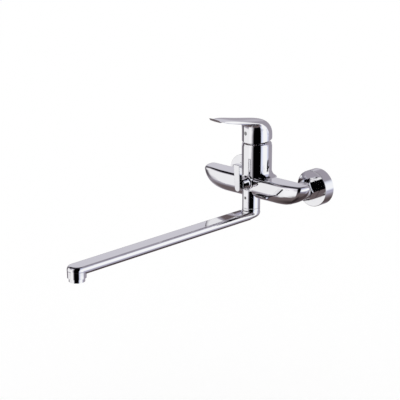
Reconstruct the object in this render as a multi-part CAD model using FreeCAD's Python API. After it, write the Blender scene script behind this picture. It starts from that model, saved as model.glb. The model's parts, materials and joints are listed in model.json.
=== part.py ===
import FreeCAD, Part
import math
import os

# Wall-mounted single-lever bath mixer with a long swivel spout, in millimetres.
# Origin: midway between the two wall inlets, on the finished wall.
# +X runs along the wall to the user's right, +Y goes into the wall, +Z is up.
# Heights given "from the axis" count from the mixer's inlet axis.

# Clearances
FIT = 0.10              # radial, pieces that are screwed or pushed together
RUN = 0.05              # radial, running fits
FACE = 0.05             # between flat faces that slide on each other
JOINT_GAP = 0.40        # between a moving piece and a fixed one
WEEP = 0.60             # union nut to flange, and nut to body boss

# Wall connection
INLET_SPACING = 150.0
ECCENTRICITY = 10.0     # mixer axis above the wall threads
WALL_THREAD_R = 10.48   # G1/2
WALL_THREAD_LENGTH = 18.0
WALL_BORE_R = 7.0
UNION_THREAD_R = 13.22  # G3/4
UNION_THREAD_LENGTH = 10.0
UNION_BORE_R = 8.0
S_BEND_LENGTH = 8.0
FLANGE_R = 30.5
FLANGE_DEPTH = 20.0
FLANGE_WALL = 1.6
FLANGE_EDGE = 0.8
NUT_FLATS = 30.0
NUT_LIP = 3.0
NUT_CHAMFER = 1.2
GASKET_THICKNESS = 2.0
NIPPLE_R = 10.0
NIPPLE_COLLAR_R = 12.6
NIPPLE_COLLAR_LENGTH = 3.0
NIPPLE_BORE_R = 7.0
NIPPLE_ENGAGEMENT = 14.0

# Body casting
PROJECTION = 72.0       # wall to column axis
COLUMN_R = 25.0
COLUMN_WALL = 2.5       # column to the thread of the cartridge nut
COLUMN_HEIGHT = 72.0    # from the axis
BODY_HALF_DEPTH = 18.5  # along Y
BODY_TOP = 20.5         # from the axis
BODY_BOTTOM = -16.5
BODY_EDGE_R = 6.0       # upper edges
BODY_OVERHANG = 34.5    # beyond the inlets
FRONT_INSET = 0.5       # front of the body behind the front of the column
SWEEP_LENGTH = 49.5     # the ends sweep up along a quarter oval this long
SWEEP_TOP = 18.0        # where the sweep is upright, from the axis
CORNER_R = 9.0          # front corners in plan
CORNER_START = 20.0     # bearings of the corner's two ends, in degrees from straight ahead
CORNER_STOP = 64.0
END_R = 36.1            # ends in plan, behind the corner
STERN_LENGTH = 8.5      # rear corners
HULL_TURNS = (5, 15, 30, 45, 60, 75, 90)    # degrees round the underside, from the keel
FLANK_STEPS = 7
CAST_MERGE = 0.005      # surfaces of the casting this near are one
BLEND_R = 12.0          # column to body
BLEND_SINK = 0.4        # top of the blend inside the column
BLEND_STEPS = 5
INLET_BOSS_R = 14.5
NECK_R = 14.9
NECK_OFFSET = 13.0      # in front of the column axis
NECK_TOP = -2.0         # from the axis
NECK_BOTTOM = -32.0
WATERWAY_R = 6.0
PORT_R = 4.0
HOT_COLD_PORT = 9.0     # either side of the column axis
MIXED_PORT_INSET = 5.5  # centre inside the edge of the fixed disc

# Shower outlet behind the column
SHOWER_SETBACK = 24.0   # behind the column axis
SHOWER_BOSS_R = 14.0
SHOWER_BOSS_BOTTOM = -6.0   # from the axis
SHOWER_BOSS_TOP = 12.0
SHOWER_THREAD_R = 10.48
SHOWER_THREAD_LENGTH = 12.0
SHOWER_COLLAR_R = 12.0
SHOWER_COLLAR_LENGTH = 2.0
SHOWER_BORE_R = 6.5
SHOWER_TAIL_R = 9.0
SHOWER_TAIL_LENGTH = 9.0
SHOWER_WAY_R = 3.5
SHOWER_WAY_HEIGHT = 6.0

# Ceramic cartridge
CARTRIDGE_STEP = 2.6    # cartridge inside the nut's thread
SEAT_HEIGHT = 24.0      # from the axis
SEAL_THICKNESS = 1.0
SEAL_WIDTH = 1.8
BASE_THICKNESS = 7.0
PEG_R = 1.5
PEG_LENGTH = 2.5
PEG_GAP = 1.0           # peg to port seal
FIXED_DISC_INSET = 2.9  # inside the cartridge
FIXED_DISC_THICKNESS = 5.0
MOVING_DISC_PLAY = 4.1  # inside the cavity, for its travel
MOVING_DISC_THICKNESS = 4.5
MIXING_POCKET_R = 9.5
MIXING_POCKET_DEPTH = 2.5
CARRIER_THICKNESS = 8.5
DISC_TRAVEL = 4.5
CAVITY_WALL = 2.3
TURRET_INSET = 2.4      # inside the housing's collar
TURRET_FLANGE_PLAY = 0.3
TURRET_FLANGE_THICKNESS = 3.0
TURRET_PROUD = 2.0
HOUSING_HEIGHT = 34.0
SHOULDER_STEP = 2.5     # collar inside the cartridge
SHOULDER_DROP = 9.0     # shoulder below the housing's top
STEM_SIDE = 8.0
STEM_TOP = 104.0        # from the axis
STEM_SLOT_CLEARANCE = 0.5
STEM_SLOT_HALF = 10.0
STEM_FOOT_R = 3.0
STEM_NECK_R = 2.0
STEM_NECK_LENGTH = 5.5
STEM_ARM = 10.5         # foot centre to pivot
FOOT_SINK = 1.0         # foot centre below the carrier's top
FOOT_CLEARANCE = 0.3
PIVOT_PIN_R = 1.5
PIVOT_PIN_INSET = 1.0   # ends inside the turret
NUT_THREAD_LENGTH = 9.5
NUT_HEX_WALL = 1.0
NUT_HEX_LENGTH = 4.5

# Trim ring between column and handle
RING_HEIGHT = 6.5
RING_INSET = 0.8        # smaller than the column
RING_SHOULDER = 3.0
RING_BEVEL = 4.0        # top edge inside the column
RING_LEDGE = 5.0        # opening inside the nut's thread
RING_WALL = 1.5
RING_SPIGOT_LENGTH = 4.0

# Handle
HANDLE_TURN = 8.0       # degrees, lever to the left of straight ahead
SKIRT_FRONT = 78.4      # skirt underside at the front, from the axis
SKIRT_REAR = 84.0
SKIRT_WALL = 2.2
SKIRT_TOP = 90.0        # top of the upright skirt, from the axis
CROWN_R = 25.0
CROWN_STEPS = 8
LEVER_SLOPE = 8.0       # degrees
LEVER_STEPS = 4
LEVER_REACH = 91.0      # column axis to tip
LEVER_TIP_WIDTH = 26.5
LEVER_TIP_THICKNESS = 4.5
LEVER_TIP_RAKE = 2.0
LEVER_NOSE_R = 2.2      # rounding of the tip
LEVER_NOSE_TURN = 75.0  # degrees
LEVER_NOSE_STEPS = 5
LEVER_ROOT_HEIGHT = 106.0   # where the front of the skirt turns into the lever, from the axis
LEVER_ROOT_R = 5.0
CREASE_SHARE = 0.16     # of the lever's thickness, top to crease
ROUND_SILL = 30.0       # degrees round the circular sections, crease to lower edges
SILL_SHARE = 0.92       # top to the lower edges
SILL_TUCK = 0.96        # width there
SIDE_BULGE = 0.99       # width halfway down the sides
VAULT_INSET = 8.0       # upper part of the hollow, inside the column
VAULT_TOP = 99.0        # from the axis
HUB_R = 9.0
HUB_BOTTOM = 88.0       # from the axis
RIB_WIDTH = 10.0
GRUB_R = 2.5
GRUB_LENGTH = 10.0
GRUB_DROP = 5.0         # below the vault's top
CAP_R = 3.2
CAP_LENGTH = 2.4

# Diverter on the front
DIVERTER_HEIGHT = 12.0  # from the axis
DIVERTER_BOSS_R = 13.0
DIVERTER_BOSS_PROUD = 2.0
DIVERTER_DEPTH = 15.0   # bore depth behind the boss face
HEADWORK_R = 9.0
HEADWORK_WALL = 1.4
HEADWORK_COLLAR_R = 9.8
HEADWORK_COLLAR = 1.0
HEADWORK_NOSE_R = 6.5
HEADWORK_NOSE_LENGTH = 9.0
DIVERTER_SEAL = 1.0
DIVERTER_DISC_R = 7.5
DIVERTER_DISC_THICKNESS = 3.0
DIVERTER_PORT_R = 2.2
DIVERTER_PORT_OFFSET = 3.8
SPINDLE_R = 4.0
SPINDLE_FOOT_R = 7.3
SPINDLE_FOOT_THICKNESS = 2.5
SPINDLE_SEAL_DEPTH = 0.9
SPINDLE_SEAL_WIDTH = 1.4
SPINDLE_ENGAGEMENT = 5.0
SHROUD_LENGTH = 14.0
SHROUD_R = 9.8
SHROUD_FLARE_LENGTH = 5.0
SHROUD_BORE_R = 8.4
SHROUD_LIP = 2.0
PADDLE_THICKNESS = 7.0
PADDLE_TOP = 35.0       # above the spindle
PADDLE_BOTTOM = 11.0    # below the spindle
PADDLE_TOP_WIDTH = 12.4
PADDLE_END_R = 5.3
PADDLE_EDGE_R = 0.8
PADDLE_LEAN = 3.5       # degrees, top away from the column
PADDLE_BOSS_R = 5.2
PADDLE_BOSS_LENGTH = 3.0
PADDLE_SCREW_R = 1.5
PADDLE_SCREW_LENGTH = 5.0

# Swivel spout
SPOUT_REACH = 391.0     # neck axis to outlet axis
ARM_HEIGHT = -43.5      # middle of the arm, from the axis
ARM_HALF_WIDTH = 15.0
ARM_HALF_DEPTH = 6.6
ARM_FLAT = 10.0         # half-width of the flat top
ARM_WALL = 1.6
BEND_INNER_R = 1.0
BEND_STEPS = 10
BEND_FLAT = 0.2         # half-width of the flat where the elbow is round
BEND_FULLNESS = 4.0     # exponent of the outer corner, 2 is a true oval
TAIL_R = 10.9
TAIL_BORE_R = 7.5
TAIL_LENGTH = 26.0
NECK_BORE_DEPTH = 28.0
SLIP_THICKNESS = 0.8
SEAL_GROOVE_DEPTH = 1.5
SEAL_GROOVE_WIDTH = 1.8
UPPER_SEAL = 3.5        # groove centres, below the tail's top
LOCK_GROOVE = 7.5
LOWER_SEAL = 20.0
LOCK_GROOVE_WIDTH = 6.0
LOCK_SCREW_R = 2.5
LOCK_SCREW_RECESS = 0.4
HEAD_R = 14.6
HEAD_DEPTH = 12.1       # below the middle of the arm
AERATOR_THREAD_R = 11.0
AERATOR_THREAD_LENGTH = 7.0
AERATOR_COLLAR_R = 12.35
AERATOR_COLLAR_LENGTH = 6.0
AERATOR_BORE_R = 9.6
AERATOR_LIP = 1.0
AERATOR_GASKET = 1.6
INSERT_HEIGHT = 11.5
INSERT_FLOOR = 1.6
INSERT_WALL = 1.2
INSERT_HOLE_R = 0.8
INSERT_HOLE_PITCH = 2.3
INSERT_RINGS = 3

# Places worked out from the driving dimensions
AXIS = ECCENTRICITY
INLET_X = INLET_SPACING / 2
BODY_HALF_LENGTH = INLET_X + BODY_OVERHANG
COLUMN_Y = -PROJECTION
COLUMN_TOP = AXIS + COLUMN_HEIGHT
BODY_FRONT = COLUMN_Y - COLUMN_R + FRONT_INSET
BODY_Y = BODY_FRONT + BODY_HALF_DEPTH
NECK_Y = COLUMN_Y - NECK_OFFSET
SHOWER_Y = COLUMN_Y + SHOWER_SETBACK

NUT_REAR = -FLANGE_DEPTH - WEEP
UNION_FACE = NUT_REAR - UNION_THREAD_LENGTH
GASKET_FACE = UNION_FACE - GASKET_THICKNESS
NUT_FRONT = GASKET_FACE - NIPPLE_COLLAR_LENGTH - NUT_LIP
BOSS_FACE = NUT_FRONT - WEEP
NIPPLE_END = BOSS_FACE - NIPPLE_ENGAGEMENT

NUT_THREAD_R = COLUMN_R - COLUMN_WALL
CARTRIDGE_R = NUT_THREAD_R - CARTRIDGE_STEP
FIXED_DISC_R = CARTRIDGE_R - FIXED_DISC_INSET
MIXED_PORT = FIXED_DISC_R - MIXED_PORT_INSET
CAVITY_R = CARTRIDGE_R - CAVITY_WALL
MOVING_DISC_R = CAVITY_R - MOVING_DISC_PLAY
SHOULDER_R = CARTRIDGE_R - SHOULDER_STEP
TURRET_R = SHOULDER_R - TURRET_INSET
TURRET_FLANGE_R = CAVITY_R - TURRET_FLANGE_PLAY
PIVOT_PIN_LENGTH = 2 * (TURRET_R - PIVOT_PIN_INSET)
NUT_HEX_FLATS = 2 * (SHOULDER_R + NUT_HEX_WALL)
RING_TOP_R = COLUMN_R - RING_BEVEL
RING_OPENING_R = NUT_THREAD_R - RING_LEDGE
VAULT_R = COLUMN_R - VAULT_INSET

SEAT = AXIS + SEAT_HEIGHT
BASE_Z = SEAT + SEAL_THICKNESS
FIXED_Z = BASE_Z + BASE_THICKNESS
MOVING_Z = FIXED_Z + FIXED_DISC_THICKNESS + FACE
CARRIER_Z = MOVING_Z + MOVING_DISC_THICKNESS
CARRIER_TOP = CARRIER_Z + CARRIER_THICKNESS
TURRET_Z = CARRIER_TOP + JOINT_GAP
TURRET_STEP = TURRET_Z + TURRET_FLANGE_THICKNESS
HOUSING_TOP = FIXED_Z + HOUSING_HEIGHT
SHOULDER_Z = HOUSING_TOP - SHOULDER_DROP
NUT_HEX_Z = SHOULDER_Z + NUT_THREAD_LENGTH
TURRET_TOP = HOUSING_TOP + TURRET_PROUD
FOOT_Z = CARRIER_TOP - FOOT_SINK
PIVOT_Z = FOOT_Z + STEM_ARM
DISC_Y = COLUMN_Y + DISC_TRAVEL / 2
PEG_Y = COLUMN_Y + PORT_R + SEAL_WIDTH + PEG_GAP + PEG_R

DIVERTER_Z = AXIS + DIVERTER_HEIGHT
DIVERTER_FACE = BODY_FRONT - DIVERTER_BOSS_PROUD
DIVERTER_END = DIVERTER_FACE + DIVERTER_DEPTH
HEADWORK_END = DIVERTER_END - DIVERTER_SEAL
TURNING_DISC = HEADWORK_END - DIVERTER_DISC_THICKNESS - FACE
SPINDLE_FOOT = TURNING_DISC - DIVERTER_DISC_THICKNESS
SPINDLE_SHOULDER = SPINDLE_FOOT - SPINDLE_FOOT_THICKNESS
SHROUD_FRONT = DIVERTER_FACE - SHROUD_LENGTH
PADDLE_REAR = SHROUD_FRONT - JOINT_GAP
SPINDLE_TIP = PADDLE_REAR - SPINDLE_ENGAGEMENT

NECK_FACE = AXIS + NECK_BOTTOM
ELBOW_TOP = NECK_FACE - SLIP_THICKNESS
TAIL_TOP = ELBOW_TOP + TAIL_LENGTH
ARM_Z = AXIS + ARM_HEIGHT
OUTLET_Y = NECK_Y - SPOUT_REACH
HEAD_BOTTOM = ARM_Z - HEAD_DEPTH
THREAD_TOP = HEAD_BOTTOM + AERATOR_THREAD_LENGTH
AERATOR_BOTTOM = HEAD_BOTTOM - AERATOR_COLLAR_LENGTH

RIGHT = FreeCAD.Vector(1, 0, 0)
BACK = FreeCAD.Vector(0, 1, 0)
FORWARD = FreeCAD.Vector(0, -1, 0)
UP = FreeCAD.Vector(0, 0, 1)
DOWN = FreeCAD.Vector(0, 0, -1)


def at(x, y, z):
    return FreeCAD.Vector(x, y, z)


def rod(radius, start, direction, length):
    return Part.makeCylinder(radius, length, start, direction)


def tube(outer, inner, start, direction, length):
    return rod(outer, start, direction, length).cut(rod(inner, start, direction, length))


def block(x, y, z):
    """Box from three (low, high) pairs."""
    return Part.makeBox(x[1] - x[0], y[1] - y[0], z[1] - z[0], at(x[0], y[0], z[0]))


def spun(points, axis_point, axis):
    """Solid of revolution of a closed polygon."""
    return Part.Face(Part.makePolygon(points + points[:1])).revolve(axis_point, axis, 360)


def turned(shape):
    """A piece of the mixing gear, turned with the lever about the column."""
    return shape.rotated(at(0, COLUMN_Y, 0), UP, -HANDLE_TURN)


def swept(edges, path):
    """Solid swept along a straight path from a closed chain of edges."""
    return Part.Face(Part.Wire(edges)).extrude(path)


def chain(points):
    """Straight edges through the points, in order."""
    return [Part.makeLine(a, b) for a, b in zip(points, points[1:])]


def hexagon(flats, centre, across, upright, length):
    """Hexagonal bar: corners lie in the plane of two unit vectors."""
    corner = flats / math.sqrt(3)
    turns = [math.radians(60 * i) for i in range(7)]
    points = [centre + across * (corner * math.cos(t)) + upright * (corner * math.sin(t)) for t in turns]
    return Part.Face(Part.makePolygon(points)).extrude(across.cross(upright) * length)


def stretched(unit, centre, first, second):
    """Edges of a unit shape at the origin, its X and Y stretched to two half-axes about a centre."""
    through = first.cross(second).normalize()
    frame = FreeCAD.Matrix(first.x, second.x, through.x, centre.x,
                           first.y, second.y, through.y, centre.y,
                           first.z, second.z, through.z, centre.z)
    return unit.transformGeometry(frame).Edges


def quarter(centre, first, second):
    """Quarter of an oval from centre + first to centre + second."""
    return stretched(Part.makeCircle(1, at(0, 0, 0), UP, 0, 90), centre, first, second)[0]


def ring(centre, across, over):
    """Closed oval about its centre from two half-axes."""
    return Part.Wire(stretched(Part.makeCircle(1), centre, across, over))


def oval(half_x, front, rear, z):
    """Level oval given its half-width along X and its front and rear."""
    return ring(at(0, (front + rear) / 2, z), RIGHT * half_x, BACK * ((rear - front) / 2))


# Wall connection, one of each per side

def s_union(x):
    def run(wall_r, union_r):
        wall = rod(wall_r, at(x, 0, 0), BACK, WALL_THREAD_LENGTH)
        ends = [Part.Wire(Part.makeCircle(wall_r, at(x, 0, 0), FORWARD)),
                Part.Wire(Part.makeCircle(union_r, at(x, -S_BEND_LENGTH, AXIS), FORWARD))]
        union = rod(union_r, at(x, -S_BEND_LENGTH, AXIS), FORWARD, -UNION_FACE - S_BEND_LENGTH)
        return wall.fuse([Part.makeLoft(ends, True, True), union])
    return run(WALL_THREAD_R, UNION_THREAD_R).cut(run(WALL_BORE_R, UNION_BORE_R)).removeSplitter()


def flange(x):
    centre = at(x, 0, AXIS)
    cup = rod(FLANGE_R, centre, FORWARD, FLANGE_DEPTH)
    rim = [edge for edge in cup.Edges if edge.BoundBox.YMax < -FLANGE_DEPTH / 2]
    cup = cup.makeFillet(FLANGE_EDGE, rim)
    hollow = rod(FLANGE_R - FLANGE_WALL, centre, FORWARD, FLANGE_DEPTH - FLANGE_WALL)
    return cup.cut(hollow).cut(rod(UNION_THREAD_R + FIT, centre, FORWARD, FLANGE_DEPTH))


def union_nut(x):
    rear = at(x, NUT_REAR, AXIS)
    length = NUT_REAR - NUT_FRONT
    corner = NUT_FLATS / math.sqrt(3)
    bevelled = spun([rear, rear + at(corner - NUT_CHAMFER, 0, 0), rear + at(corner, -NUT_CHAMFER, 0),
                     rear + at(corner, NUT_CHAMFER - length, 0),
                     rear + at(corner - NUT_CHAMFER, -length, 0), rear + at(0, -length, 0)], rear, FORWARD)
    thread = rod(UNION_THREAD_R + FIT, rear, FORWARD, length - NUT_LIP)
    mouth = rod(NIPPLE_R + FIT, rear, FORWARD, length)
    return hexagon(NUT_FLATS, rear, RIGHT, UP, length).common(bevelled).cut(thread).cut(mouth)


def union_gasket(x):
    return tube(NIPPLE_COLLAR_R, UNION_BORE_R, at(x, UNION_FACE, AXIS), FORWARD, GASKET_THICKNESS)


def inlet_nipple(x):
    start = at(x, GASKET_FACE, AXIS)
    length = GASKET_FACE - NIPPLE_END
    collar = rod(NIPPLE_COLLAR_R, start, FORWARD, NIPPLE_COLLAR_LENGTH)
    pipe = rod(NIPPLE_R, start, FORWARD, length)
    return collar.fuse(pipe).cut(rod(NIPPLE_BORE_R, start, FORWARD, length))


# Body casting

def level_arc(x, y, z, radius, start, stop):
    """Level arc about a centre, between two bearings in degrees from straight ahead."""
    spots = []
    for bearing in (start, (start + stop) / 2, stop):
        turn = math.radians(bearing)
        spots.append(at(x + radius * math.sin(turn), y - radius * math.cos(turn), z))
    return Part.Arc(*spots).toShape()


def hull_slice(height):
    """Level outline of the body at a height from the axis: its ends draw in with the sweep."""
    below = max(BODY_BOTTOM + BODY_HALF_DEPTH - height, 0)
    half = math.sqrt(BODY_HALF_DEPTH ** 2 - below ** 2)
    share = half / BODY_HALF_DEPTH
    rise = max(SWEEP_TOP - height, 0) / (SWEEP_TOP - BODY_BOTTOM)
    end = BODY_HALF_LENGTH - SWEEP_LENGTH * (1 - math.sqrt(1 - rise ** 2))
    stern = STERN_LENGTH * share
    z = AXIS + height
    front = BODY_Y - half
    rear = BODY_Y + half
    near = math.radians(CORNER_START)
    far = math.radians(CORNER_STOP)
    end_r = END_R * share
    corner_r = CORNER_R * share
    end_x = end - end_r
    end_y = rear - stern
    corner_x = end_x + (end_r - corner_r) * math.sin(far)
    corner_y = end_y - (end_r - corner_r) * math.cos(far)
    bow_r = (corner_y - corner_r * math.cos(near) - front) / (1 - math.cos(near))
    bow_x = corner_x - (bow_r - corner_r) * math.sin(near)
    return Part.Wire([Part.makeLine(at(-bow_x, front, z), at(bow_x, front, z)),
                      level_arc(bow_x, front + bow_r, z, bow_r, 0, CORNER_START),
                      level_arc(corner_x, corner_y, z, corner_r, CORNER_START, CORNER_STOP),
                      level_arc(end_x, end_y, z, end_r, CORNER_STOP, 90),
                      quarter(at(end - stern, end_y, z), RIGHT * stern, BACK * stern),
                      Part.makeLine(at(end - stern, rear, z), at(stern - end, rear, z)),
                      quarter(at(stern - end, end_y, z), BACK * stern, RIGHT * -stern),
                      level_arc(-end_x, end_y, z, end_r, -90, -CORNER_STOP),
                      level_arc(-corner_x, corner_y, z, corner_r, -CORNER_STOP, -CORNER_START),
                      level_arc(-bow_x, front + bow_r, z, bow_r, -CORNER_START, 0)])


def hull():
    """Round underside that sweeps up to both ends, and the flanks above it with rounded upper edges."""
    flank = BODY_BOTTOM + BODY_HALF_DEPTH
    belly = [flank - BODY_HALF_DEPTH * math.cos(math.radians(t)) for t in HULL_TURNS]
    flanks = [flank + (BODY_TOP - flank) * i / FLANK_STEPS for i in range(FLANK_STEPS + 1)]
    lower = Part.makeLoft([hull_slice(height) for height in belly], True)
    upper = Part.makeLoft([hull_slice(height) for height in flanks], True)
    brim = [edge for edge in upper.Edges if edge.BoundBox.ZMin > AXIS + BODY_TOP - FIT]
    return [lower, upper.makeFillet(BODY_EDGE_R, brim)]


def column():
    """Round column that spreads along the body at its foot and closes under it."""
    front = COLUMN_Y - COLUMN_R
    rear = COLUMN_Y + COLUMN_R
    top = AXIS + BODY_TOP
    sides = AXIS + BODY_BOTTOM + BODY_HALF_DEPTH
    spread = COLUMN_R + BLEND_R
    drop = BODY_HALF_DEPTH - FRONT_INSET
    recede = BODY_EDGE_R + FRONT_INSET
    flare = []
    foot = []
    for step in range(BLEND_STEPS, -1, -1):
        turn = math.pi / 2 * step / BLEND_STEPS
        near = math.cos(turn)
        sink = BLEND_SINK * near
        flare.append(oval(spread - BLEND_R * near - sink, front + recede * (1 - near) + sink, rear - sink,
                          top + BLEND_R * (1 - math.sin(turn))))
        foot.append(oval(spread * (1 + near) / 2, BODY_Y + (front - BODY_Y) * near - FRONT_INSET,
                         BODY_Y + (rear - BODY_Y) * near + FRONT_INSET, sides - drop * math.sin(turn)))
    shaft = rod(COLUMN_R, at(0, COLUMN_Y, sides), UP, COLUMN_TOP - sides)
    waist = Part.makeLoft([oval(spread, front, rear, sides), flare[0]], True, True)
    return shaft.fuse([Part.makeLoft(flare, True), waist, Part.makeLoft(foot, True)])


def waterways():
    """Everything bored out of the casting."""
    cuts = [rod(CARTRIDGE_R + FIT, at(0, COLUMN_Y, SEAT), UP, COLUMN_TOP - SEAT),
            rod(NUT_THREAD_R + FIT, at(0, COLUMN_Y, SHOULDER_Z), UP, COLUMN_TOP - SHOULDER_Z),
            rod(PORT_R, at(0, COLUMN_Y - MIXED_PORT, DIVERTER_Z), UP, SEAT - DIVERTER_Z),
            rod(HEADWORK_R + FIT, at(0, DIVERTER_FACE, DIVERTER_Z), BACK, DIVERTER_DEPTH),
            rod(TAIL_R + RUN, at(0, NECK_Y, NECK_FACE), UP, NECK_BORE_DEPTH),
            rod(PORT_R, at(0, NECK_Y, NECK_FACE), UP, DIVERTER_Z - NECK_FACE),
            rod(LOCK_SCREW_R + FIT, at(0, NECK_Y, TAIL_TOP - LOCK_GROOVE), FORWARD, NECK_R),
            rod(SHOWER_WAY_R, at(0, DIVERTER_END, AXIS + SHOWER_WAY_HEIGHT), BACK, SHOWER_Y - DIVERTER_END),
            rod(SHOWER_BORE_R, at(0, SHOWER_Y, AXIS + SHOWER_BOSS_BOTTOM), UP,
                SHOWER_WAY_HEIGHT + SHOWER_WAY_R - SHOWER_BOSS_BOTTOM),
            rod(SHOWER_TAIL_R + FIT, at(0, SHOWER_Y, AXIS + SHOWER_BOSS_BOTTOM), UP,
                SHOWER_TAIL_LENGTH + FIT),
            rod(SHOWER_BOSS_R, at(0, SHOWER_Y, AXIS + SHOWER_BOSS_BOTTOM), DOWN, BODY_HALF_DEPTH)]
    for hand in (-1, 1):
        x = hand * INLET_X
        port = at(hand * HOT_COLD_PORT, COLUMN_Y, AXIS)
        cuts += [rod(NIPPLE_R + FIT, at(x, BOSS_FACE, AXIS), FORWARD, NIPPLE_ENGAGEMENT + FIT),
                 rod(WATERWAY_R, at(x, BOSS_FACE, AXIS), FORWARD, BOSS_FACE - COLUMN_Y),
                 rod(WATERWAY_R, port, RIGHT * hand, INLET_X - HOT_COLD_PORT),
                 rod(PORT_R, port, UP, SEAT_HEIGHT),
                 rod(PEG_R + FIT, at(hand * HOT_COLD_PORT, PEG_Y, SEAT), DOWN,
                     PEG_LENGTH - SEAL_THICKNESS + FIT)]
    return cuts


def body_casting():
    neck = rod(NECK_R, at(0, NECK_Y, NECK_FACE), UP, NECK_TOP - NECK_BOTTOM)
    diverter_boss = rod(DIVERTER_BOSS_R, at(0, COLUMN_Y, DIVERTER_Z), FORWARD, COLUMN_Y - DIVERTER_FACE)
    shower_boss = rod(SHOWER_BOSS_R, at(0, SHOWER_Y, AXIS + SHOWER_BOSS_BOTTOM), UP,
                      SHOWER_BOSS_TOP - SHOWER_BOSS_BOTTOM)
    bosses = [rod(INLET_BOSS_R, at(x, BOSS_FACE, AXIS), FORWARD, BOSS_FACE - BODY_Y)
              for x in (-INLET_X, INLET_X)]
    solid = column().fuse(hull() + [neck, diverter_boss, shower_boss] + bosses, CAST_MERGE)
    return solid.cut(waterways())


def shower_nipple():
    face = at(0, SHOWER_Y, AXIS + SHOWER_BOSS_BOTTOM)
    collar = rod(SHOWER_COLLAR_R, face, DOWN, SHOWER_COLLAR_LENGTH)
    thread = rod(SHOWER_THREAD_R, face, DOWN, SHOWER_COLLAR_LENGTH + SHOWER_THREAD_LENGTH)
    tail = rod(SHOWER_TAIL_R, face, UP, SHOWER_TAIL_LENGTH)
    top = face + UP * SHOWER_TAIL_LENGTH
    bore = rod(SHOWER_BORE_R, top, DOWN, SHOWER_TAIL_LENGTH + SHOWER_COLLAR_LENGTH + SHOWER_THREAD_LENGTH)
    return collar.fuse([thread, tail]).cut(bore).removeSplitter()


# Ceramic cartridge

def port_places():
    """Hot, cold and mixed ports around the column axis."""
    return [(-HOT_COLD_PORT, COLUMN_Y), (HOT_COLD_PORT, COLUMN_Y), (0, COLUMN_Y - MIXED_PORT)]


def port_seals():
    rings = [tube(PORT_R + SEAL_WIDTH, PORT_R, at(x, y, SEAT), UP, SEAL_THICKNESS)
             for x, y in port_places()]
    return Part.makeCompound(rings)


def cartridge_base():
    disc = rod(CARTRIDGE_R, at(0, COLUMN_Y, BASE_Z), UP, BASE_THICKNESS)
    for hand in (-1, 1):
        disc = disc.fuse(rod(PEG_R, at(hand * HOT_COLD_PORT, PEG_Y, BASE_Z), DOWN, PEG_LENGTH))
    return disc.cut([rod(PORT_R, at(x, y, BASE_Z), UP, BASE_THICKNESS) for x, y in port_places()])


def fixed_ceramic_disc():
    disc = rod(FIXED_DISC_R, at(0, COLUMN_Y, FIXED_Z), UP, FIXED_DISC_THICKNESS)
    return disc.cut([rod(PORT_R, at(x, y, FIXED_Z), UP, FIXED_DISC_THICKNESS) for x, y in port_places()])


def moving_ceramic_disc():
    centre = at(0, DISC_Y, MOVING_Z)
    disc = rod(MOVING_DISC_R, centre, UP, MOVING_DISC_THICKNESS)
    return disc.cut(rod(MIXING_POCKET_R, centre, UP, MIXING_POCKET_DEPTH))


def disc_carrier():
    puck = rod(MOVING_DISC_R, at(0, DISC_Y, CARRIER_Z), UP, CARRIER_THICKNESS)
    half = STEM_FOOT_R + FOOT_CLEARANCE
    socket = block((-half, half), (COLUMN_Y - half, COLUMN_Y + half), (FOOT_Z - half, CARRIER_TOP))
    return puck.cut(socket)


def cartridge_housing():
    shell = rod(CARTRIDGE_R, at(0, COLUMN_Y, FIXED_Z), UP, SHOULDER_Z - FIXED_Z)
    collar = rod(SHOULDER_R, at(0, COLUMN_Y, FIXED_Z), UP, HOUSING_HEIGHT)
    cavity = rod(CAVITY_R, at(0, COLUMN_Y, FIXED_Z), UP, TURRET_STEP + JOINT_GAP - FIXED_Z)
    bore = rod(TURRET_R + RUN, at(0, COLUMN_Y, FIXED_Z), UP, HOUSING_HEIGHT)
    return shell.fuse(collar).cut(cavity).cut(bore).removeSplitter()


def cartridge_turret():
    barrel = rod(TURRET_R, at(0, COLUMN_Y, TURRET_Z), UP, TURRET_TOP - TURRET_Z)
    barrel = barrel.fuse(rod(TURRET_FLANGE_R, at(0, COLUMN_Y, TURRET_Z), UP, TURRET_FLANGE_THICKNESS))
    half = STEM_SIDE / 2 + STEM_SLOT_CLEARANCE
    slot = block((-half, half), (COLUMN_Y - STEM_SLOT_HALF, COLUMN_Y + STEM_SLOT_HALF),
                 (TURRET_Z, TURRET_TOP))
    pin_hole = rod(PIVOT_PIN_R + RUN / 2, at(-PIVOT_PIN_LENGTH / 2, COLUMN_Y, PIVOT_Z), RIGHT,
                   PIVOT_PIN_LENGTH)
    return barrel.cut(slot).cut(pin_hole).removeSplitter()


def pivot_pin():
    return rod(PIVOT_PIN_R, at(-PIVOT_PIN_LENGTH / 2, COLUMN_Y, PIVOT_Z), RIGHT, PIVOT_PIN_LENGTH)


def lever_stem():
    half = STEM_SIDE / 2
    bar = block((-half, half), (COLUMN_Y - half, COLUMN_Y + half),
                (FOOT_Z + STEM_NECK_LENGTH, AXIS + STEM_TOP))
    neck = rod(STEM_NECK_R, at(0, COLUMN_Y, FOOT_Z), UP, STEM_NECK_LENGTH + STEM_NECK_R)
    foot = Part.makeSphere(STEM_FOOT_R, at(0, COLUMN_Y, FOOT_Z))
    pin_hole = rod(PIVOT_PIN_R + RUN, at(-half, COLUMN_Y, PIVOT_Z), RIGHT, STEM_SIDE)
    return bar.fuse([neck, foot]).cut(pin_hole).removeSplitter()


def cartridge_nut():
    thread = rod(NUT_THREAD_R, at(0, COLUMN_Y, SHOULDER_Z), UP, NUT_THREAD_LENGTH)
    drive = hexagon(NUT_HEX_FLATS, at(0, COLUMN_Y, NUT_HEX_Z), RIGHT, BACK, NUT_HEX_LENGTH)
    hole = rod(SHOULDER_R + FIT, at(0, COLUMN_Y, SHOULDER_Z), UP, NUT_THREAD_LENGTH + NUT_HEX_LENGTH)
    return thread.fuse(drive).cut(hole).removeSplitter()


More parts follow.
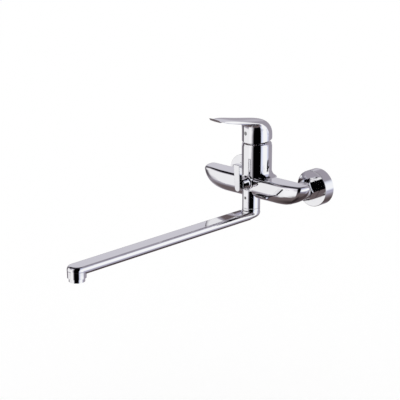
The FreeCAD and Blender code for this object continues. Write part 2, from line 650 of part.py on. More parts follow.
def trim_ring():
    def point(radius, height):
        return at(radius, COLUMN_Y, COLUMN_TOP + height)
    inner = NUT_THREAD_R - RING_WALL / 2
    profile = [point(inner, -RING_SPIGOT_LENGTH), point(NUT_THREAD_R, -RING_SPIGOT_LENGTH),
               point(NUT_THREAD_R, 0), point(COLUMN_R - RING_INSET, 0),
               point(COLUMN_R - RING_INSET, RING_SHOULDER), point(RING_TOP_R, RING_HEIGHT),
               point(RING_OPENING_R, RING_HEIGHT),
               point(RING_OPENING_R, RING_HEIGHT - RING_WALL), point(inner, RING_SHOULDER - RING_WALL)]
    return spun(profile, at(0, COLUMN_Y, 0), UP)


# Handle, drawn in side view as (distance in front of the column axis, height)

def side(forward, height):
    return at(0, COLUMN_Y - forward, height)


def lever_width(forward):
    """Half-width in plan: round over the column, then straight to the tip."""
    half = LEVER_TIP_WIDTH / 2
    away = math.hypot(half, LEVER_REACH)
    turn = math.atan2(half, LEVER_REACH) + math.acos(COLUMN_R / away)
    start = COLUMN_R * math.cos(turn)
    wide = COLUMN_R * math.sin(turn)
    if forward <= start:
        return COLUMN_R
    return wide + (half - wide) * (forward - start) / (LEVER_REACH - start)


def lever_section(outer, inner, flat, width=1):
    """Section between two points of the side view: a circle at flat 0, the lever's own at 1."""
    def share(round_share, flat_share):
        return round_share + (flat_share - round_share) * flat
    top = side(*outer)
    through = side(*inner) - top
    crease = share(0.5, CREASE_SHARE)
    half = RIGHT * (lever_width(COLUMN_Y - top.y - crease * through.y) * width)
    sill_turn = math.radians(ROUND_SILL)
    sill = share((1 + math.sin(sill_turn)) / 2, SILL_SHARE)
    wall = share((1 + math.sin(sill_turn / 2)) / 2, (CREASE_SHARE + SILL_SHARE) / 2)
    over = top + through * crease
    under = top + through * sill
    tuck = half * share(math.cos(sill_turn), SILL_TUCK)
    bulge = half * share(math.cos(sill_turn / 2), SIDE_BULGE)
    between = top + through * wall
    return Part.Wire([Part.Arc(over - half, top, over + half).toShape(),
                      Part.Arc(over + half, between + bulge, under + tuck).toShape(),
                      Part.Arc(under + tuck, top + through, under - tuck).toShape(),
                      Part.Arc(under - tuck, between - bulge, over - half).toShape()])


def lever_solids():
    """Elbow over the skirt, lever and rounded tip, from sections fanning from level to upright."""
    slope = math.radians(LEVER_SLOPE)
    start_z = AXIS + SKIRT_TOP
    root_rise = LEVER_ROOT_HEIGHT - SKIRT_TOP
    elbow = [lever_section((-COLUMN_R, start_z), (COLUMN_R, start_z), 0)]
    for step in range(1, CROWN_STEPS + 1):
        part = step / CROWN_STEPS
        turn = part * (math.pi / 2 - slope)
        root = turn * part
        outer = (CROWN_R * (1 - math.cos(turn)) - COLUMN_R, start_z + CROWN_R * math.sin(turn))
        inner = (COLUMN_R + LEVER_ROOT_R * (1 - math.cos(root)),
                 start_z + root_rise * math.sin(part * math.pi / 2) + LEVER_ROOT_R * math.sin(root))
        elbow.append(lever_section(outer, inner, 0))
    tip = (LEVER_REACH, outer[1] + (LEVER_REACH - outer[0]) * math.tan(slope))
    low = (LEVER_REACH - LEVER_TIP_RAKE, tip[1] - LEVER_TIP_THICKNESS)
    lever = [elbow[-1]]
    for step in range(1, LEVER_STEPS + 1):
        part = step / LEVER_STEPS
        over = (outer[0] + (tip[0] - outer[0]) * part, outer[1] + (tip[1] - outer[1]) * part)
        under = (inner[0] + (low[0] - inner[0]) * part, inner[1] + (low[1] - inner[1]) * part)
        lever.append(lever_section(over, under, 1 - (1 - part) ** 2))
    nose = [lever[-1]]
    for step in range(1, LEVER_NOSE_STEPS + 1):
        turn = math.radians(LEVER_NOSE_TURN) * step / LEVER_NOSE_STEPS
        ahead = LEVER_NOSE_R * math.sin(turn)
        shrink = LEVER_NOSE_R * (1 - math.cos(turn))
        over = (tip[0] + ahead, tip[1] + ahead * math.tan(slope) - shrink)
        under = (low[0] + ahead, low[1] + ahead * math.tan(slope) + shrink)
        nose.append(lever_section(over, under, 1, 1 - shrink / LEVER_TIP_WIDTH))
    return [Part.makeLoft(sections, True) for sections in (elbow, lever, nose)]


def grub_height():
    return AXIS + VAULT_TOP - GRUB_DROP


def handle():
    start_z = AXIS + SKIRT_TOP
    skirt_side = chain([side(COLUMN_R, AXIS + SKIRT_FRONT), side(COLUMN_R, start_z),
                        side(-COLUMN_R, start_z), side(-COLUMN_R, AXIS + SKIRT_REAR),
                        side(COLUMN_R, AXIS + SKIRT_FRONT)])
    band = swept(skirt_side, RIGHT * (2 * COLUMN_R))
    band.translate(RIGHT * -COLUMN_R)
    skirt = rod(COLUMN_R, at(0, COLUMN_Y, AXIS), UP, SKIRT_TOP).common(band)
    cavity = [rod(COLUMN_R - SKIRT_WALL, at(0, COLUMN_Y, AXIS), UP, SKIRT_TOP),
              rod(VAULT_R, at(0, COLUMN_Y, AXIS), UP, VAULT_TOP)]
    hub = rod(HUB_R, at(0, COLUMN_Y, AXIS + HUB_BOTTOM), UP, VAULT_TOP - HUB_BOTTOM)
    half = RIB_WIDTH / 2
    rib = block((-half, half), (COLUMN_Y - VAULT_R, COLUMN_Y), (grub_height() - half, AXIS + VAULT_TOP))
    socket_half = STEM_SIDE / 2 + FIT
    socket = block((-socket_half, socket_half), (COLUMN_Y - socket_half, COLUMN_Y + socket_half),
                   (AXIS, AXIS + STEM_TOP + FIT))
    screw_hole = rod(GRUB_R + FIT, at(0, COLUMN_Y, grub_height()), FORWARD, COLUMN_R)
    cap_hole = rod(CAP_R + FIT, at(0, COLUMN_Y - COLUMN_R + CAP_LENGTH, grub_height()), FORWARD, COLUMN_R)
    shell = skirt.fuse(lever_solids()).cut(cavity)
    return shell.fuse([hub, rib]).cut([socket, screw_hole, cap_hole]).removeSplitter()


def handle_grub_screw():
    tip = at(0, COLUMN_Y - STEM_SIDE / 2, grub_height())
    screw = rod(GRUB_R, tip, FORWARD, GRUB_LENGTH)
    key = hexagon(GRUB_R, tip + FORWARD * GRUB_LENGTH, RIGHT, FORWARD.cross(RIGHT), -GRUB_R)
    return screw.cut(key)


def index_cap():
    plug = rod(CAP_R, at(0, COLUMN_Y - COLUMN_R + CAP_LENGTH, grub_height()), FORWARD, CAP_LENGTH)
    return plug.common(rod(COLUMN_R, at(0, COLUMN_Y, AXIS), UP, 2 * VAULT_TOP))


# Diverter

def on_diverter(y):
    return at(0, y, DIVERTER_Z)


def diverter_seal():
    inner = DIVERTER_DISC_R - HEADWORK_WALL
    return tube(HEADWORK_R, inner, on_diverter(DIVERTER_END), FORWARD, DIVERTER_SEAL)


def diverter_headwork():
    body = rod(HEADWORK_R, on_diverter(HEADWORK_END), FORWARD, HEADWORK_END - DIVERTER_FACE)
    collar = rod(HEADWORK_COLLAR_R, on_diverter(DIVERTER_FACE), FORWARD, HEADWORK_COLLAR)
    length = HEADWORK_END - DIVERTER_FACE + HEADWORK_COLLAR + HEADWORK_NOSE_LENGTH
    nose = rod(HEADWORK_NOSE_R, on_diverter(HEADWORK_END), FORWARD, length)
    chamber = rod(HEADWORK_R - HEADWORK_WALL, on_diverter(HEADWORK_END), FORWARD,
                  HEADWORK_END - SPINDLE_SHOULDER + FIT)
    bore = rod(SPINDLE_R + RUN, on_diverter(HEADWORK_END), FORWARD, length)
    windows = rod(PORT_R, at(0, NECK_Y, DIVERTER_Z - HEADWORK_R), UP, 2 * HEADWORK_R)
    return body.fuse([collar, nose]).cut([chamber, bore, windows]).removeSplitter()


def diverter_disc(y):
    disc = rod(DIVERTER_DISC_R, on_diverter(y), FORWARD, DIVERTER_DISC_THICKNESS)
    port = on_diverter(y) + UP * DIVERTER_PORT_OFFSET
    return disc.cut(rod(DIVERTER_PORT_R, port, FORWARD, DIVERTER_DISC_THICKNESS))


def spindle_groove(outer):
    """Ring round the spindle's seal groove, from its floor out to a radius."""
    start = on_diverter(DIVERTER_FACE - HEADWORK_COLLAR - HEADWORK_NOSE_LENGTH / 2)
    return tube(outer, SPINDLE_R - SPINDLE_SEAL_DEPTH, start, FORWARD, SPINDLE_SEAL_WIDTH)


def diverter_spindle():
    foot = rod(SPINDLE_FOOT_R, on_diverter(SPINDLE_FOOT), FORWARD, SPINDLE_FOOT_THICKNESS)
    shank = rod(SPINDLE_R, on_diverter(SPINDLE_FOOT), FORWARD, SPINDLE_FOOT - SPINDLE_TIP)
    return foot.fuse(shank).cut(spindle_groove(2 * SPINDLE_R)).removeSplitter()


def spindle_seal():
    return spindle_groove(SPINDLE_R)


def diverter_shroud():
    def point(radius, y):
        return at(radius, y, DIVERTER_Z)
    seat = HEADWORK_COLLAR_R + FIT
    step = DIVERTER_FACE - HEADWORK_COLLAR - FIT
    lip = PADDLE_BOSS_R + JOINT_GAP
    flare = quarter(point(DIVERTER_BOSS_R, DIVERTER_FACE - SHROUD_FLARE_LENGTH), BACK * SHROUD_FLARE_LENGTH,
                    RIGHT * (SHROUD_R - DIVERTER_BOSS_R))
    rest = chain([point(SHROUD_R, DIVERTER_FACE - SHROUD_FLARE_LENGTH), point(SHROUD_R, SHROUD_FRONT),
                  point(lip, SHROUD_FRONT), point(lip, SHROUD_FRONT + SHROUD_LIP),
                  point(SHROUD_BORE_R, SHROUD_FRONT + SHROUD_LIP), point(SHROUD_BORE_R, step),
                  point(seat, step), point(seat, DIVERTER_FACE), point(DIVERTER_BOSS_R, DIVERTER_FACE)])
    return Part.Face(Part.Wire([flare] + rest)).revolve(on_diverter(0), FORWARD, 360)


def diverter_lever():
    half = PADDLE_TOP_WIDTH / 2
    low = DIVERTER_Z - PADDLE_BOTTOM
    rise = PADDLE_TOP + PADDLE_BOTTOM - PADDLE_END_R
    turn = math.atan2(half, rise) + math.acos(PADDLE_END_R / math.hypot(half, rise))
    x = PADDLE_END_R * math.sin(turn)
    z = low + PADDLE_END_R * (1 + math.cos(turn))
    top = DIVERTER_Z + PADDLE_TOP
    outline = [Part.Arc(at(x, PADDLE_REAR, z), at(0, PADDLE_REAR, low), at(-x, PADDLE_REAR, z)).toShape()]
    outline += chain([at(-x, PADDLE_REAR, z), at(-half, PADDLE_REAR, top), at(half, PADDLE_REAR, top),
                      at(x, PADDLE_REAR, z)])
    plate = swept(outline, FORWARD * PADDLE_THICKNESS)
    plate = plate.makeFillet(PADDLE_EDGE_R, plate.Edges)
    plate.rotate(at(0, PADDLE_REAR, low), RIGHT, PADDLE_LEAN)
    boss = rod(PADDLE_BOSS_R, on_diverter(PADDLE_REAR + PADDLE_BOSS_LENGTH), FORWARD,
               PADDLE_BOSS_LENGTH + PADDLE_THICKNESS / 4)
    socket = rod(SPINDLE_R + FIT, on_diverter(PADDLE_REAR + PADDLE_BOSS_LENGTH), FORWARD,
                 PADDLE_BOSS_LENGTH + SPINDLE_ENGAGEMENT + FIT)
    screw_hole = rod(PADDLE_SCREW_R + FIT, paddle_screw_place(), DOWN, PADDLE_BOTTOM)
    return plate.fuse(boss).cut([socket, screw_hole]).removeSplitter()


def paddle_screw_place():
    return at(0, PADDLE_REAR - SPINDLE_ENGAGEMENT / 2, DIVERTER_Z - SPINDLE_R)


def diverter_grub_screw():
    return rod(PADDLE_SCREW_R, paddle_screw_place(), DOWN, PADDLE_SCREW_LENGTH)


# Swivel spout

def flat_section(centre, half_width, over, flat):
    """Section with straight top and bottom between quarter ovals."""
    side_to = RIGHT * flat
    out = RIGHT * (half_width - flat)
    return Part.Wire([Part.makeLine(centre - side_to + over, centre + side_to + over),
                      quarter(centre + side_to, over, out), quarter(centre + side_to, out, -over),
                      Part.makeLine(centre + side_to - over, centre - side_to - over),
                      quarter(centre - side_to, -over, -out), quarter(centre - side_to, -out, over)])


def arm_section(y, inset):
    """Upright section of the spout."""
    return flat_section(at(0, y, ARM_Z), ARM_HALF_WIDTH - inset, UP * (ARM_HALF_DEPTH - inset), ARM_FLAT)


def bend():
    """Elbow from the round neck to the flat arm: sections fan about a line under the neck."""
    pivot = at(0, NECK_Y - NECK_R - BEND_INNER_R, ARM_Z + ARM_HALF_DEPTH + BEND_INNER_R)
    across = BEND_INNER_R + 2 * NECK_R
    down = BEND_INNER_R + 2 * ARM_HALF_DEPTH
    sections = []
    for step in range(BEND_STEPS + 1):
        part = step / BEND_STEPS
        turn = part * math.pi / 2
        ray = BACK * math.cos(turn) + DOWN * math.sin(turn)
        far = (abs(math.cos(turn) / across) ** BEND_FULLNESS
               + (math.sin(turn) / down) ** BEND_FULLNESS) ** (-1 / BEND_FULLNESS)
        half = (far - BEND_INNER_R) / 2
        width = NECK_R + (ARM_HALF_WIDTH - NECK_R) * part
        flat = BEND_FLAT + (ARM_FLAT - BEND_FLAT) * part
        sections.append(flat_section(pivot + ray * (BEND_INNER_R + half), width, ray * half, flat))
    collar = Part.Face(sections[0]).extrude(UP * (ELBOW_TOP - pivot.z))
    return collar.fuse(Part.makeLoft(sections, True))


def spout_arm():
    start = NECK_Y - NECK_R - BEND_INNER_R
    arm = Part.Face(arm_section(start, 0)).extrude(FORWARD * (start - OUTLET_Y))
    outlet = at(0, OUTLET_Y, ARM_Z)
    rise = UP * ARM_HALF_DEPTH
    rim = outlet + RIGHT * ARM_FLAT
    out = RIGHT * (ARM_HALF_WIDTH - ARM_FLAT)
    puck = chain([rim + rise, outlet + rise, outlet - rise, rim - rise])
    puck += [quarter(rim, -rise, out), quarter(rim, out, rise)]
    end = Part.Face(Part.Wire(puck)).revolve(outlet, DOWN, 180)
    head = Part.makeCone(HEAD_R, ARM_HALF_WIDTH - FIT, HEAD_DEPTH, at(0, OUTLET_Y, HEAD_BOTTOM), UP)
    tail = rod(TAIL_R, at(0, NECK_Y, ELBOW_TOP), UP, TAIL_LENGTH)
    channel = Part.Face(arm_section(NECK_Y, ARM_WALL)).extrude(FORWARD * SPOUT_REACH)
    riser = rod(TAIL_BORE_R, at(0, NECK_Y, ARM_Z), UP, TAIL_TOP - ARM_Z)
    thread = rod(AERATOR_THREAD_R + FIT, at(0, OUTLET_Y, HEAD_BOTTOM), UP,
                 AERATOR_THREAD_LENGTH + AERATOR_GASKET)
    throat = rod(AERATOR_BORE_R, at(0, OUTLET_Y, HEAD_BOTTOM), UP, HEAD_DEPTH + ARM_HALF_DEPTH / 2)
    grooves = [groove(UPPER_SEAL, SEAL_GROOVE_WIDTH), groove(LOCK_GROOVE, LOCK_GROOVE_WIDTH),
               groove(LOWER_SEAL, SEAL_GROOVE_WIDTH)]
    whole = bend().fuse([arm, end, head, tail])
    return whole.cut([channel, riser, thread, throat] + grooves).removeSplitter()


def groove(below_top, width):
    start = at(0, NECK_Y, TAIL_TOP - below_top - width / 2)
    return tube(TAIL_R + SEAL_GROOVE_DEPTH, TAIL_R - SEAL_GROOVE_DEPTH, start, UP, width)


def spout_o_ring(below_top):
    cord = SEAL_GROOVE_DEPTH / 2
    return Part.makeTorus(TAIL_R - cord, cord, at(0, NECK_Y, TAIL_TOP - below_top), UP)


def slip_ring():
    start = at(0, NECK_Y, ELBOW_TOP + FACE)
    return tube(NECK_R - JOINT_GAP, TAIL_R + RUN, start, UP, SLIP_THICKNESS - FACE)


def spout_lock_screw():
    tip = TAIL_R - SEAL_GROOVE_DEPTH + JOINT_GAP
    start = at(0, NECK_Y - tip, TAIL_TOP - LOCK_GROOVE)
    length = NECK_R - LOCK_SCREW_RECESS - tip
    screw = rod(LOCK_SCREW_R, start, FORWARD, length)
    key = hexagon(LOCK_SCREW_R, start + FORWARD * length, RIGHT, FORWARD.cross(RIGHT), -length / 2)
    return screw.cut(key)


def aerator_housing():
    collar = rod(AERATOR_COLLAR_R, at(0, OUTLET_Y, AERATOR_BOTTOM), UP, AERATOR_COLLAR_LENGTH)
    thread = rod(AERATOR_THREAD_R, at(0, OUTLET_Y, HEAD_BOTTOM), UP, AERATOR_THREAD_LENGTH)
    bore = rod(AERATOR_BORE_R, at(0, OUTLET_Y, AERATOR_BOTTOM + AERATOR_LIP), UP,
               THREAD_TOP - AERATOR_BOTTOM - AERATOR_LIP)
    mouth = rod(AERATOR_BORE_R - AERATOR_LIP, at(0, OUTLET_Y, AERATOR_BOTTOM), UP, AERATOR_LIP)
    return collar.fuse(thread).cut([bore, mouth]).removeSplitter()


def aerator_insert():
    radius = AERATOR_BORE_R - FIT
    base = at(0, OUTLET_Y, AERATOR_BOTTOM + AERATOR_LIP)
    cup = rod(radius, base, UP, INSERT_HEIGHT)
    hollow = rod(radius - INSERT_WALL, base + UP * INSERT_FLOOR, UP, INSERT_HEIGHT)
    holes = [rod(INSERT_HOLE_R, base, UP, INSERT_FLOOR)]
    for row in range(1, INSERT_RINGS + 1):
        for step in range(6 * row):
            turn = 2 * math.pi * step / (6 * row)
            offset = at(math.cos(turn), math.sin(turn), 0) * (row * INSERT_HOLE_PITCH)
            holes.append(rod(INSERT_HOLE_R, base + offset, UP, INSERT_FLOOR))
    return cup.cut(hollow).cut(holes)


def aerator_gasket():
    start = at(0, OUTLET_Y, THREAD_TOP)
    return tube(AERATOR_THREAD_R, AERATOR_BORE_R - AERATOR_LIP, start, UP, AERATOR_GASKET)


PARTS = {
    "body_casting": body_casting(),
    "shower_nipple": shower_nipple(),
    "port_seals": port_seals(),
    "cartridge_base": cartridge_base(),
    "fixed_ceramic_disc": fixed_ceramic_disc(),
    "moving_ceramic_disc": turned(moving_ceramic_disc()),
    "disc_carrier": turned(disc_carrier()),
    "cartridge_housing": cartridge_housing(),
    "cartridge_turret": turned(cartridge_turret()),
    "pivot_pin": turned(pivot_pin()),
    "lever_stem": turned(lever_stem()),
    "cartridge_nut": cartridge_nut(),
    "trim_ring": trim_ring(),
    "handle": turned(handle()),
    "handle_grub_screw": turned(handle_grub_screw()),
    "index_cap": turned(index_cap()),
    "diverter_seal": diverter_seal(),
    "diverter_headwork": diverter_headwork(),
    "diverter_fixed_disc": diverter_disc(HEADWORK_END),
    "diverter_turning_disc": diverter_disc(TURNING_DISC),
    "diverter_spindle": diverter_spindle(),
    "diverter_spindle_seal": spindle_seal(),
    "diverter_shroud": diverter_shroud(),
    "diverter_lever": diverter_lever(),
    "diverter_grub_screw": diverter_grub_screw(),
    "spout_arm": spout_arm(),
    "spout_upper_o_ring": spout_o_ring(UPPER_SEAL),
    "spout_lower_o_ring": spout_o_ring(LOWER_SEAL),
    "spout_slip_ring": slip_ring(),
    "spout_lock_screw": spout_lock_screw(),
    "aerator_housing": aerator_housing(),
    "aerator_insert": aerator_insert(),
    "aerator_gasket": aerator_gasket(),
}
for hand, inlet in (("left", -INLET_X), ("right", INLET_X)):
    PARTS["s_union_" + hand] = s_union(inlet)
    PARTS["flange_" + hand] = flange(inlet)
    PARTS["union_nut_" + hand] = union_nut(inlet)
    PARTS["union_gasket_" + hand] = union_gasket(inlet)
    PARTS["inlet_nipple_" + hand] = inlet_nipple(inlet)

os.makedirs("parts", exist_ok=True)
for name, shape in PARTS.items():
    shape.exportStep("parts/" + name + ".step")
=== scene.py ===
import bmesh
import bpy
import json
import math
from mathutils import Matrix, Vector
from typing import NamedTuple

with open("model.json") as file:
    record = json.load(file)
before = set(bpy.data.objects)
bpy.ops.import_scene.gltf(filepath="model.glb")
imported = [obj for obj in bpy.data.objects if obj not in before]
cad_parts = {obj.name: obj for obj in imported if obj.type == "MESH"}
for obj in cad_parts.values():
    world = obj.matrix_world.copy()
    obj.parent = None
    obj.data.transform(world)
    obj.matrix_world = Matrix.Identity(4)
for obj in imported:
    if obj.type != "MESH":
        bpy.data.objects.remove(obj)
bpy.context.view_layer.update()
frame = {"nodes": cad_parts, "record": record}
nodes = frame["nodes"]
scene = bpy.context.scene
scene.view_settings.view_transform = "Standard"


# Colours and node trees

WHITE = (1.0, 1.0, 1.0, 1.0)
DISPLAY_MAX = 255
SRGB_KNEE = 0.04045
SRGB_SLOPE = 12.92
SRGB_OFFSET = 0.055
SRGB_GAMMA = 2.4
NOISE_LOW = 0.3         # nearly all of the noise lies between these two
NOISE_HIGH = 0.7
NOISE_DETAIL = 3.0


def linear(colour):
    """Scene-linear colour from 8-bit display values."""
    def one(value):
        share = value / DISPLAY_MAX
        if share <= SRGB_KNEE:
            return share / SRGB_SLOPE
        return ((share + SRGB_OFFSET) / (1 + SRGB_OFFSET)) ** SRGB_GAMMA
    return tuple(one(value) for value in colour) + (1.0,)


class Tree:
    """A node tree that is written as expressions."""

    def __init__(self, tree):
        self.tree = tree
        tree.nodes.clear()

    def add(self, kind, inputs=None, **settings):
        node = self.tree.nodes.new(kind)
        for key, value in settings.items():
            setattr(node, key, value)
        for key, value in (inputs or {}).items():
            self.feed(node.inputs[key], value)
        return node

    def feed(self, socket, value):
        if isinstance(value, bpy.types.NodeSocket):
            self.tree.links.new(value, socket)
        else:
            socket.default_value = value

    def math(self, operation, *values):
        node = self.add("ShaderNodeMath", operation=operation)
        for socket, value in zip(node.inputs, values):
            self.feed(socket, value)
        return node.outputs[0]

    def step(self, value, low, high):
        """0 before low, 1 past high, smooth between."""
        node = self.add("ShaderNodeMapRange", interpolation_type="SMOOTHSTEP")
        for socket, given in zip(node.inputs, (value, low, high, 0.0, 1.0)):
            self.feed(socket, given)
        return node.outputs[0]

    def span(self, value, low, high, soft):
        """1 between low and high, fading over soft at both ends."""
        rise = self.step(value, low - soft / 2, low + soft / 2)
        fall = self.step(value, high - soft / 2, high + soft / 2)
        return self.math("SUBTRACT", rise, fall)

    def blend(self, share, first, second):
        node = self.add("ShaderNodeMix", data_type="RGBA")
        self.feed(node.inputs["Factor"], share)
        self.feed(node.inputs["A"], first)
        self.feed(node.inputs["B"], second)
        return node.outputs["Result"]

    def noise(self, place, scale, detail=NOISE_DETAIL):
        node = self.add("ShaderNodeTexNoise", {"Vector": place, "Scale": scale, "Detail": detail})
        return node.outputs["Fac"]

    def spread(self, value, low, high):
        """Noise spread over the range from low to high."""
        node = self.add("ShaderNodeMapRange")
        for socket, given in zip(node.inputs, (value, NOISE_LOW, NOISE_HIGH, low, high)):
            self.feed(socket, given)
        return node.outputs[0]


# Camera

CAMERA_PLACE = Vector((1.61949, -1.93169, 0.72142))
CAMERA_RIGHT = Vector((0.7286, 0.6849, 0.0)).normalized()
CAMERA_BACK = Vector((0.6563, -0.6982, 0.2859)).normalized()
CAMERA_AZIMUTH = 43.2       # degrees round from the part's front
LENS_MM = 139.154
SENSOR_MM = 36.0
CLIP_END = 50.0

camera = bpy.data.objects.new("camera", bpy.data.cameras.new("camera"))
camera.data.sensor_width = SENSOR_MM
camera.data.lens = LENS_MM
camera.data.clip_end = CLIP_END
turn = Matrix((CAMERA_RIGHT, CAMERA_BACK.cross(CAMERA_RIGHT), CAMERA_BACK)).transposed()
camera.matrix_world = Matrix.Translation(CAMERA_PLACE) @ turn.to_4x4()
scene.collection.objects.link(camera)
scene.camera = camera


# Studio: a white surround, and a dome of dark, grey and pale cards that only the polish mirrors

class Patch(NamedTuple):
    """Part of the dome, in degrees round and up, and the width of its fade in both directions."""
    sides: tuple
    heights: tuple
    soft: tuple


class Fade(NamedTuple):
    """Colours that pass into each other from one angle to another."""
    angles: tuple
    first: tuple
    second: tuple


DOME_R = 20.0
DOME_SUBDIVISIONS = 4
HALF_TURN = 180.0

# Degrees round are from the camera, left negative
WALLS = Fade((-42, -22), (106, 95, 96), (160, 155, 165))
LOW_RIGHT = Patch((100, 178), (-80, -40), (20, 10))
LOW_RIGHT_COLOUR = (76, 66, 68)
BELOW = (-75, -50)
BELOW_COLOUR = (46, 39, 40)
CEILING = (46, 58)
CEILING_COLOUR = (58, 56, 63)
FAR_LEFT = Patch((-146, -121), (-26, 64), (6, 8))
FAR_LEFT_COLOUR = (92, 86, 92)
LEFT = Patch((-116, -60), (-30, 40), (8, 12))
LEFT_COLOUR = (168, 163, 173)
LEFT_OF_DARK = Patch((-64, -26), (-32, 48), (8, 12))
LEFT_OF_DARK_FADE = Fade((-54, -24), (236, 232, 240), (60, 57, 62))
RIGHT = Patch((29, 101), (-42, 34), (9, 10))
RIGHT_FADE = Fade((-38, -14), (140, 135, 152), (226, 232, 252))
RIGHT_RIM = Patch((88, 101), (-42, -12), (8, 10))
RIGHT_RIM_COLOUR = (172, 168, 186)
HIGH_RIGHT = Patch((58, 98), (30, 58), (14, 12))
HIGH_RIGHT_COLOUR = (198, 200, 224)

# Degrees round are from straight behind the part
BACK = Patch((-8, 32), (-38, 34), (14, 12))
BACK_FADE = Fade((6, 14), (170, 165, 174), (206, 204, 212))
HIGH_BACK = Patch((14, 90), (35, 62), (10, 7))
HIGH_BACK_COLOUR = (20, 19, 22)

# The dark card round the camera leans to the right above the horizon
DARK_LEFT = (-33, -26)
DARK_RIGHT = (33, 25)
DARK_FOOT = (-44, -30)
DARK_LEAN = 0.55
DARK_COLOUR = (3, 3, 4)

# Openings in the dome, through which the white surround shows
LEFT_OPENINGS = (Patch((-120, -47), (-23, 24), (10, 6)), Patch((-72, -40), (-36, -14), (8, 10)))
LEFT_CLEARNESS = 0.84
RIGHT_OPENINGS = (Patch((46, 99), (-10, 30), (12, 10)), Patch((44, 82), (-24, 0), (14, 8)))


def surround():
    world = bpy.data.worlds.new("surround")
    scene.world = world
    world.use_nodes = True
    t = Tree(world.node_tree)
    background = t.add("ShaderNodeBackground", {"Color": WHITE, "Strength": 1.0})
    t.add("ShaderNodeOutputWorld", {"Surface": background.outputs[0]})


def card_material():
    """Cards by direction from the middle of the dome, each laid over those before it."""
    made = bpy.data.materials.new("cards")
    made.use_nodes = True
    t = Tree(made.node_tree)
    place = t.add("ShaderNodeTexCoord").outputs["Object"]
    aim = t.add("ShaderNodeVectorMath", {0: place}, operation="NORMALIZE").outputs[0]
    x, y, z = t.add("ShaderNodeSeparateXYZ", {"Vector": aim}).outputs
    degree = math.degrees(1)
    height = t.math("MULTIPLY", t.math("ARCSINE", z), degree)
    azimuth = t.math("MULTIPLY", t.math("ARCTAN2", x, t.math("MULTIPLY", y, -1.0)), degree)
    around = t.math("WRAP", t.math("SUBTRACT", azimuth, CAMERA_AZIMUTH), HALF_TURN, -HALF_TURN)
    behind = t.math("WRAP", t.math("SUBTRACT", around, HALF_TURN), HALF_TURN, -HALF_TURN)
    lean = t.math("SUBTRACT", around, t.math("MULTIPLY", t.math("MAXIMUM", height, 0.0), DARK_LEAN))

    def cover(patch, across=around):
        side_soft, height_soft = patch.soft
        wide = t.span(across, *patch.sides, side_soft)
        high = t.span(height, *patch.heights, height_soft)
        return t.math("MULTIPLY", wide, high)

    def fade(colours, angle=height):
        return t.blend(t.step(angle, *colours.angles), linear(colours.first), linear(colours.second))

    room = fade(WALLS)
    room = t.blend(cover(LOW_RIGHT), room, linear(LOW_RIGHT_COLOUR))
    room = t.blend(t.step(height, *BELOW), linear(BELOW_COLOUR), room)
    room = t.blend(t.step(height, *CEILING), room, linear(CEILING_COLOUR))
    room = t.blend(cover(FAR_LEFT), room, linear(FAR_LEFT_COLOUR))
    room = t.blend(cover(BACK, behind), room, fade(BACK_FADE))
    room = t.blend(cover(LEFT), room, linear(LEFT_COLOUR))
    room = t.blend(cover(HIGH_BACK, behind), room, linear(HIGH_BACK_COLOUR))
    room = t.blend(cover(LEFT_OF_DARK), room, fade(LEFT_OF_DARK_FADE, around))
    room = t.blend(cover(RIGHT), room, fade(RIGHT_FADE))
    room = t.blend(cover(RIGHT_RIM), room, linear(RIGHT_RIM_COLOUR))
    room = t.blend(cover(HIGH_RIGHT), room, linear(HIGH_RIGHT_COLOUR))
    dark = t.math("MULTIPLY", t.step(around, *DARK_LEFT), t.step(lean, *DARK_RIGHT))
    dark = t.math("MULTIPLY", dark, t.step(height, *DARK_FOOT))
    room = t.blend(dark, room, linear(DARK_COLOUR))
    left = t.math("MAXIMUM", *[cover(patch) for patch in LEFT_OPENINGS])
    right = t.math("MAXIMUM", *[cover(patch) for patch in RIGHT_OPENINGS])
    hole = t.math("MAXIMUM", t.math("MULTIPLY", left, LEFT_CLEARNESS), right)
    card = t.add("ShaderNodeEmission", {"Color": room, "Strength": 1.0}).outputs[0]
    clear = t.add("ShaderNodeBsdfTransparent").outputs[0]
    shown = t.add("ShaderNodeMixShader", {0: hole, 1: card, 2: clear}).outputs[0]
    t.add("ShaderNodeOutputMaterial", {"Surface": shown})
    made.cycles.emission_sampling = "NONE"
    return made


def cards():
    mesh = bpy.data.meshes.new("cards")
    form = bmesh.new()
    bmesh.ops.create_icosphere(form, subdivisions=DOME_SUBDIVISIONS, radius=DOME_R)
    form.to_mesh(mesh)
    form.free()
    mesh.materials.append(card_material())
    obj = bpy.data.objects.new("cards", mesh)
    scene.collection.objects.link(obj)
    obj.visible_camera = False
    obj.visible_diffuse = False
    obj.visible_transmission = False
    obj.visible_shadow = False


surround()
cards()


# Materials

class Grain(NamedTuple):
    """How a finish varies: noise scales per metre, darkest share of the colour, bump in metres."""
    stain_scale: float
    stain_detail: float
    dark_share: float
    stain_strong: bool
    rough_scale: float
    rough_swing: float
    bump_scale: float
    bump_detail: float
    bump_strength: float
    bump_depth: float


# Polished casting under plating: faint haze and very slight waviness
PLATED = Grain(stain_scale=90.0, stain_detail=4.0, dark_share=0.96, stain_strong=False,
               rough_scale=240.0, rough_swing=0.015, bump_scale=55.0, bump_detail=1.0,
               bump_strength=0.05, bump_depth=0.0004)
# Turned metal: fine tool marks and uneven tarnish
MACHINED = Grain(stain_scale=160.0, stain_detail=5.0, dark_share=0.72, stain_strong=True,
                 rough_scale=700.0, rough_swing=0.1, bump_scale=1800.0, bump_detail=2.0,
                 bump_strength=0.25, bump_depth=0.0001)
# Moulded plastic, rubber or ceramic: fine matt texture and slight mottling
MOULDED = Grain(stain_scale=220.0, stain_detail=4.0, dark_share=0.82, stain_strong=True,
                rough_scale=900.0, rough_swing=0.08, bump_scale=2400.0, bump_detail=2.0,
                bump_strength=0.2, bump_depth=0.00008)


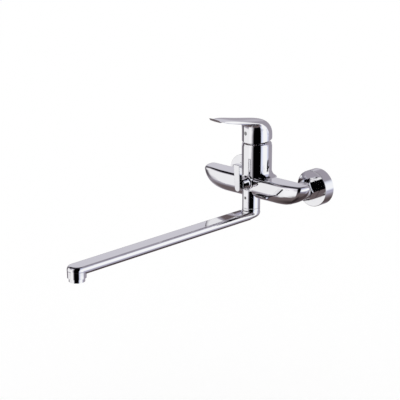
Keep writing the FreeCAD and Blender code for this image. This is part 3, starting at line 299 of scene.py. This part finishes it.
def material(name, colour, metallic, rough, grain):
    """Principled material whose colour, roughness and bump follow its grain."""
    made = bpy.data.materials.new(name)
    made.use_nodes = True
    t = Tree(made.node_tree)
    place = t.add("ShaderNodeTexCoord").outputs["Object"]
    stain = t.noise(place, grain.stain_scale, grain.stain_detail)
    if grain.stain_strong:
        stain = t.spread(stain, 0.0, 1.0)
    dark = tuple(channel * grain.dark_share for channel in colour)
    wear = t.noise(place, grain.rough_scale)
    polish = t.spread(wear, rough - grain.rough_swing, rough + grain.rough_swing)
    relief = t.add("ShaderNodeBump", {"Height": t.noise(place, grain.bump_scale, grain.bump_detail),
                                      "Strength": grain.bump_strength, "Distance": grain.bump_depth})
    # The mean roughness stays on the socket, for exports that read no nodes
    shade = t.add("ShaderNodeBsdfPrincipled", {"Metallic": metallic, "Roughness": rough})
    t.feed(shade.inputs["Base Color"], t.blend(stain, dark + (1.0,), colour + (1.0,)))
    t.feed(shade.inputs["Roughness"], polish)
    t.feed(shade.inputs["Normal"], relief.outputs["Normal"])
    t.add("ShaderNodeOutputMaterial", {"Surface": shade.outputs[0]})
    return made


# One finish for each material slot of the record: name, colour, metallic, roughness and grain
FINISHES = {
    "chrome": material("chrome_plate", (0.93, 0.93, 0.945), 1.0, 0.04, PLATED),
    "brass": material("machined_brass", (0.78, 0.56, 0.27), 1.0, 0.32, MACHINED),
    "steel": material("stainless_steel", (0.60, 0.59, 0.58), 1.0, 0.32, MACHINED),
    "ceramic": material("ceramic", (0.84, 0.82, 0.78), 0.0, 0.18, MOULDED),
    "plastic": material("moulded_plastic", (0.62, 0.63, 0.64), 0.0, 0.42, MOULDED),
    "rubber": material("rubber", (0.022, 0.022, 0.024), 0.0, 0.62, MOULDED),
    "cap": material("cap_plastic", (0.30, 0.30, 0.31), 0.0, 0.35, MOULDED),
}

slots = {part["node"]: part["material_slot"] for part in frame["record"]["subparts"]}
for name, obj in nodes.items():
    obj.data.materials.clear()
    obj.data.materials.append(FINISHES[slots[name]])


# Floor

FLOOR_Z = -0.45
FLOOR_HALF = 12.0


def floor():
    mesh = bpy.data.meshes.new("floor")
    corners = [(-FLOOR_HALF, -FLOOR_HALF), (FLOOR_HALF, -FLOOR_HALF), (FLOOR_HALF, FLOOR_HALF),
               (-FLOOR_HALF, FLOOR_HALF)]
    mesh.from_pydata([(x, y, FLOOR_Z) for x, y in corners], [], [tuple(range(len(corners)))])
    obj = bpy.data.objects.new("floor", mesh)
    scene.collection.objects.link(obj)
    made = bpy.data.materials.new("pale_floor")
    made.use_nodes = True
    t = Tree(made.node_tree)
    pale = t.add("ShaderNodeBsdfDiffuse", {"Color": WHITE})
    t.add("ShaderNodeOutputMaterial", {"Surface": pale.outputs[0]})
    mesh.materials.append(made)
    obj.visible_glossy = False


floor()
